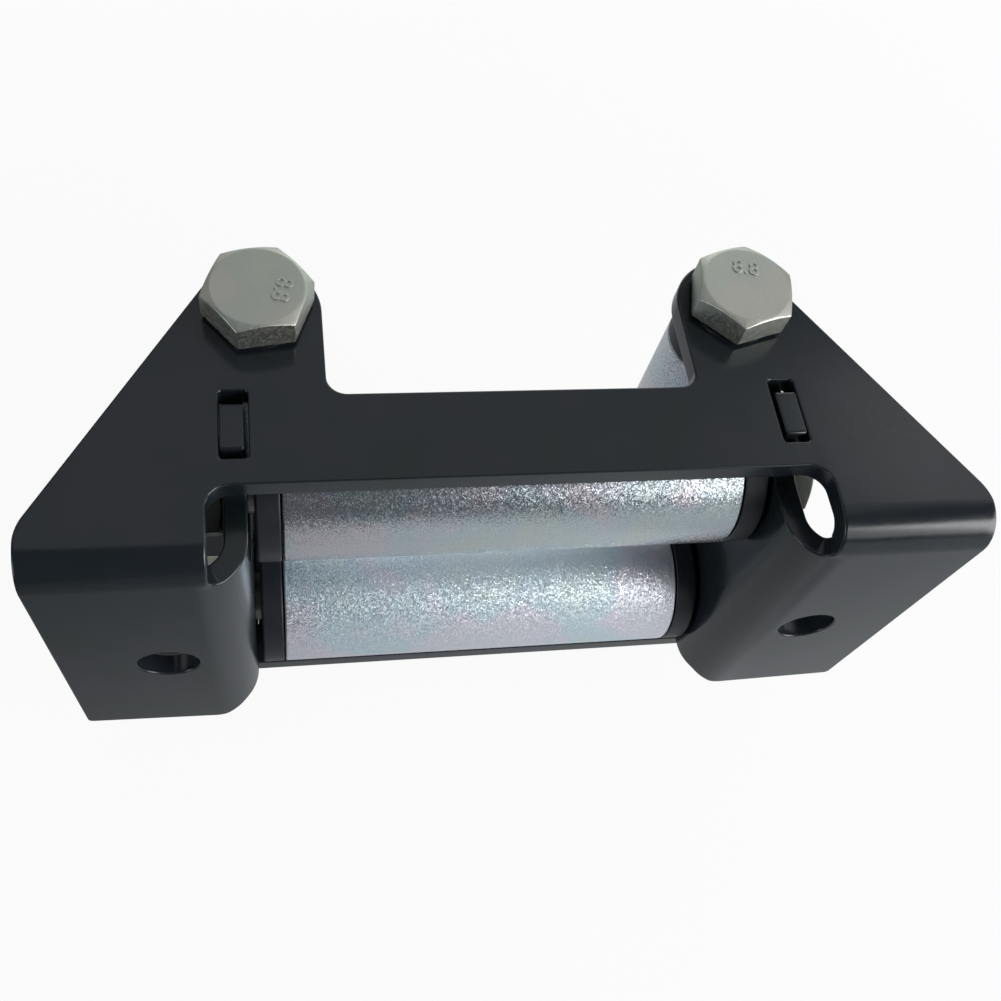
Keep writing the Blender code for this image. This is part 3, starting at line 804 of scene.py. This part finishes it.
def thread_rings(bm, points, place, tip):
    """Rings of a helical thread from its start down to the bolt's tip."""
    rings = []
    rows = int(THREAD_LENGTH / THREAD_PITCH * THREAD_ROWS)
    for i in range(rows + 1):
        z = tip + THREAD_LENGTH * (1 - i / rows)
        limit = BOLT / 2 - BOLT_TIP + (z - tip)
        fade_in = min(1.0, i / THREAD_FADE_ROWS)

        def radius_of(p, z=z, limit=limit, fade_in=fade_in):
            phase = (z / THREAD_PITCH - math.atan2(p.y, p.x) / (2 * math.pi)) % 1.0
            slope = max(0.0, GROOVE_REACH - GROOVE_SLOPE * abs(phase - 0.5))
            groove = min(1.0, slope / GROOVE_FLOOR)
            return min(BOLT / 2 - THREAD_DEPTH * groove * fade_in, limit)

        rings.append(ring_at(bm, points, place, radius_of, lambda r, p, z=z: z))
    return rings


def add_marks(bm, place, top, turn, offset):
    """Raised strength numerals on a bolt head."""
    text = bpy.data.curves.new("marks", "FONT")
    text.body = MARK_TEXT
    text.size = MARK_SIZE
    text.extrude = MARK_RELIEF
    text.bevel_depth = MARK_RELIEF / 3
    text.align_x = "CENTER"
    text.align_y = "CENTER"
    holder = bpy.data.objects.new("marks", text)
    bpy.context.scene.collection.objects.link(holder)
    bpy.context.view_layer.update()
    shape = bpy.data.meshes.new_from_object(
        holder.evaluated_get(bpy.context.evaluated_depsgraph_get()))
    bpy.data.objects.remove(holder)
    high = max(v.co.z for v in shape.vertices)
    shift = Matrix.Translation((*offset, top - high)) @ Matrix.Rotation(turn, 4, "Z")
    shape.transform(place @ shift)
    bm.from_mesh(shape)
    bpy.data.meshes.remove(shape)


def make_bolt(name, place, head_seat, tip, turn, marks):
    """Hex bolt along local Z: head above head_seat, threaded tip at tip."""
    bm = bmesh.new()
    points = hex_points(turn)
    under = head_seat + SEAT_GAP
    step = under + WASHER_FACE_HEIGHT
    crest = under + HEAD_HEIGHT
    top = crest - MARK_RELIEF
    rings = crown_rings(bm, points, place, top, 1)
    cap = bm.faces.new(rings[0])
    rings.append(ring_at(bm, points, place, lambda p: p.length, lambda r, p: step + HEX_EDGE))
    rings.append(ring_at(bm, points, place, lambda p: p.length - HEX_EDGE, lambda r, p: step))
    rings.append(round_ring(bm, points, place, WASHER_FACE / 2, step))
    rings.append(round_ring(bm, points, place, WASHER_FACE / 2, under + HEX_EDGE / 2))
    rings.append(round_ring(bm, points, place, WASHER_FACE / 2 - HEX_EDGE / 2, under))
    rings.append(round_ring(bm, points, place, BOLT / 2, under))
    rings.extend(thread_rings(bm, points, place, tip))
    loft(bm, rings)
    bm.faces.new(rings[-1])
    bmesh.ops.recalc_face_normals(bm, faces=bm.faces)
    bmesh.ops.triangulate(bm, faces=[cap])
    add_marks(bm, place, crest, *marks)
    make_piece(name, bm)


def make_nut(name, place, seat, turn):
    """Lock nut with a crimped collar, below seat, opening towards local -Z."""
    points = hex_points(turn)
    top = seat - SEAT_GAP
    hex_end = top - NUT_HEX_HEIGHT
    end = top - NUT_HEIGHT
    collar = NUT_COLLAR / 2
    pocket = collar - NUT_COLLAR_WALL
    thread = BOLT / 2 + BORE_GAP
    floor = end + INSERT_HEIGHT + 2 * SEAT_GAP
    bm = bmesh.new()
    upper = crown_rings(bm, points, place, top, 1)
    lower = crown_rings(bm, points, place, hex_end, -1)[::-1]
    rings = upper + lower
    for radius, z in [(collar + HEX_EDGE, hex_end), (collar, hex_end - HEX_EDGE)]:
        rings.append(round_ring(bm, points, place, radius, z))
    for p in arc((collar - NUT_COLLAR_ROUND, end + NUT_COLLAR_ROUND), NUT_COLLAR_ROUND,
                 0.0, -math.pi / 2, NUT_COLLAR_STEPS):
        rings.append(round_ring(bm, points, place, p.x, p.y))
    for radius, z in [(pocket + HEX_EDGE, end), (pocket, end + HEX_EDGE), (pocket, floor),
                      (thread, floor), (thread, top - 2 * HEX_EDGE),
                      (thread + 2 * HEX_EDGE, top)]:
        rings.append(round_ring(bm, points, place, radius, z))
    loft(bm, rings + rings[:1])
    make_piece(name, bm)
    bm = bmesh.new()
    high = floor - SEAT_GAP
    low = high - INSERT_HEIGHT
    outer = pocket - SEAT_GAP
    corners = [((thread, low), BORE_EDGE), ((outer, low), BORE_EDGE), ((outer, high), 0),
               ((thread, high), 0)]
    revolve(bm, rounded(corners, CORNER_STEPS), place)
    make_piece(name + "_insert", bm)


def make_axle(name, place, half_outer, turn, marks):
    """Bolt and lock nut that clamp across the outer faces at half_outer."""
    tip = -half_outer - SEAT_GAP - NUT_HEIGHT - THREAD_PAST_NUT
    make_bolt(name + "_bolt", place, half_outer, tip, turn, marks)
    make_nut(name + "_nut", place, -half_outer, turn)


# Welds

def make_weld(side):
    """Rippled fillet run in the outer corner between a cheek and the lower plate."""
    bm = bmesh.new()
    x = CHEEK_OUTER + SEAT_GAP
    z = -UNDER_TOP + SEAT_GAP
    start = TAB_START + TAB_LENGTH / 2 - WELD_LENGTH / 2
    rows = WELD_RIPPLES * WELD_ROWS
    rings = []
    for i in range(rows + 1):
        along = i / rows
        y = start + WELD_LENGTH * along
        to_end = min(1.0, min(along, 1 - along) / WELD_END)
        size = max(WELD_END_SIZE, math.sqrt(1 - (1 - to_end) ** 2))
        ripple = WELD_RIPPLE_DEPTH * abs(math.sin(math.pi * WELD_RIPPLES * along))
        ring = [bm.verts.new((side * x, y, z))]
        for j in range(WELD_FACE_STEPS + 1):
            angle = math.pi / 2 * j / WELD_FACE_STEPS
            reach = (WELD_LEG - WELD_RIPPLE_DEPTH + ripple * math.sin(2 * angle)) * size
            face = reach * (1 - WELD_HOLLOW * math.sin(2 * angle))
            ring.append(bm.verts.new((side * (x + face * math.cos(angle)), y,
                                      z + face * math.sin(angle))))
        rings.append(ring)
    loft(bm, rings)
    bm.faces.new(rings[0])
    bm.faces.new(rings[-1])
    make_piece("right_plate_weld" if side > 0 else "left_plate_weld", bm)


# Stage, lights and camera

def glow_level(t):
    """How strongly the floor shows itself to reflections, by place."""
    place = t.add("SeparateXYZ", {0: t.place()})
    across, depth = place.outputs[0], place.outputs[1]
    level = t.remap(across, -GLOW_SPREAD, GLOW_SPREAD, *GLOW_LEVEL)
    level = t.math("MAXIMUM", level, t.remap(depth, *GLOW_BACK, 0.0, BACK_LEVEL))
    beside = t.math("ABSOLUTE", t.math("SUBTRACT", across, GLOW_MIDDLE))
    loss = t.math("MULTIPLY", t.remap(beside, *GLOW_SIDES, 0.0, 1.0),
                  t.remap(depth, *GLOW_FRONT, *GLOW_LOSS))
    return t.math("MULTIPLY", level, t.math("SUBTRACT", GLOW_GAIN, loss))


def make_stage():
    """A white floor that keeps a faint shadow, and is grey in reflections."""
    mesh = bpy.data.meshes.new("floor")
    bm = bmesh.new()
    bmesh.ops.create_grid(bm, x_segments=2, y_segments=2, size=FLOOR_SIZE)
    bm.to_mesh(mesh)
    bm.free()
    floor = bpy.data.objects.new("floor", mesh)
    bpy.context.scene.collection.objects.link(floor)
    floor.location = (0, 0, cad_bounds[0].z - FLOOR_DROP)
    t = Nodes(bpy.data.materials.new("white_floor"))
    path = t.add("LightPath").outputs
    away = t.add("VectorMath", {0: t.place()}, operation="LENGTH").outputs["Value"]
    matte = t.add("BsdfDiffuse", {"Color": FLOOR_COLOUR})
    white = t.add("Emission", {"Color": WHITE, "Strength": 1.0})
    glow = t.add("Emission", {"Color": GLOW_COLOUR, "Strength": glow_level(t)})
    through = t.math("MAXIMUM", path["Is Glossy Ray"], path["Is Transmission Ray"])
    unseen = t.add("MixShader", {"Fac": through, 1: matte.outputs[0], 2: glow.outputs[0]})
    shown = t.math("MULTIPLY", path["Is Camera Ray"],
                   t.remap(away, *FLOOR_FADE, FLOOR_SHOWN, 1.0))
    mesh.materials.append(t.finish(t.add("MixShader", {
        "Fac": shown, 1: unseen.outputs[0], 2: white.outputs[0]})))


def make_world():
    """Dim light from all round, white to the camera and to reflections from behind."""
    world = bpy.data.worlds.new("studio")
    bpy.context.scene.world = world
    t = Nodes(world, "OutputWorld")
    path = t.add("LightPath").outputs
    direction = t.add("SeparateXYZ", {0: t.add("TexCoord").outputs["Generated"]})
    behind = t.remap(direction.outputs["Y"], *WORLD_BACK, 0.0, BACK_LEVEL)
    shown = t.math("MULTIPLY_ADD", behind, path["Is Glossy Ray"], path["Is Camera Ray"])
    dim = t.add("Background", {"Color": WORLD_COLOUR})
    white = t.add("Background", {"Color": WHITE})
    t.finish(t.add("MixShader", {"Fac": shown, 1: dim.outputs[0], 2: white.outputs[0]}))


def make_lamp(name, place, size, power):
    """A soft box that faces the object."""
    light = bpy.data.lights.new(name, "AREA")
    light.shape = "RECTANGLE"
    light.size, light.size_y = size
    light.energy = power
    made = bpy.data.objects.new(name, light)
    bpy.context.scene.collection.objects.link(made)
    made.location = place
    made.rotation_mode = "QUATERNION"
    made.rotation_quaternion = (-Vector(place)).to_track_quat("-Z", "Y")


def make_camera():
    data = bpy.data.cameras.new("camera")
    data.sensor_width = CAMERA_SENSOR
    data.lens = CAMERA_LENS
    data.shift_x = CAMERA_SHIFT
    data.clip_start, data.clip_end = CAMERA_CLIP
    camera = bpy.data.objects.new("camera", data)
    bpy.context.scene.collection.objects.link(camera)
    right, up = Vector(CAMERA_RIGHT), Vector(CAMERA_UP)
    turn = Matrix((right, up, right.cross(up))).transposed().to_4x4()
    camera.matrix_world = Matrix.Translation(CAMERA_PLACE) @ turn
    bpy.context.scene.camera = camera


def make_object():
    make_bracket()
    make_lower_plate()
    for side in (-1, 1):
        make_weld(side)
    across = Matrix.Rotation(math.pi / 2, 4, "Y")
    for name, depth, height in (("upper_roller", UPPER_AXIS_Y, AXIS_HEIGHT),
                                ("lower_roller", LOWER_AXIS_Y, -AXIS_HEIGHT)):
        place = Matrix.Translation((0, depth, height)) @ across
        make_roller(name, place, ("right", "left"), HORIZONTAL)
        make_axle(name, place, CHEEK_OUTER, SIDE_HEAD_TURN, SIDE_MARKS)
    for name, x, turn, marks in (("left_roller", -VERTICAL_AXIS_X, LEFT_HEAD_TURN, LEFT_MARKS),
                                 ("right_roller", VERTICAL_AXIS_X, RIGHT_HEAD_TURN, RIGHT_MARKS)):
        place = Matrix.Translation((x, VERTICAL_AXIS_Y, 0))
        make_roller(name, place, ("upper", "lower"), VERTICAL)
        make_axle(name, place, TOP, turn, marks)


make_object()
make_stage()
make_world()
for lamp in LAMPS:
    make_lamp(*lamp)
make_camera()
bpy.context.scene.view_settings.view_transform = "Standard"
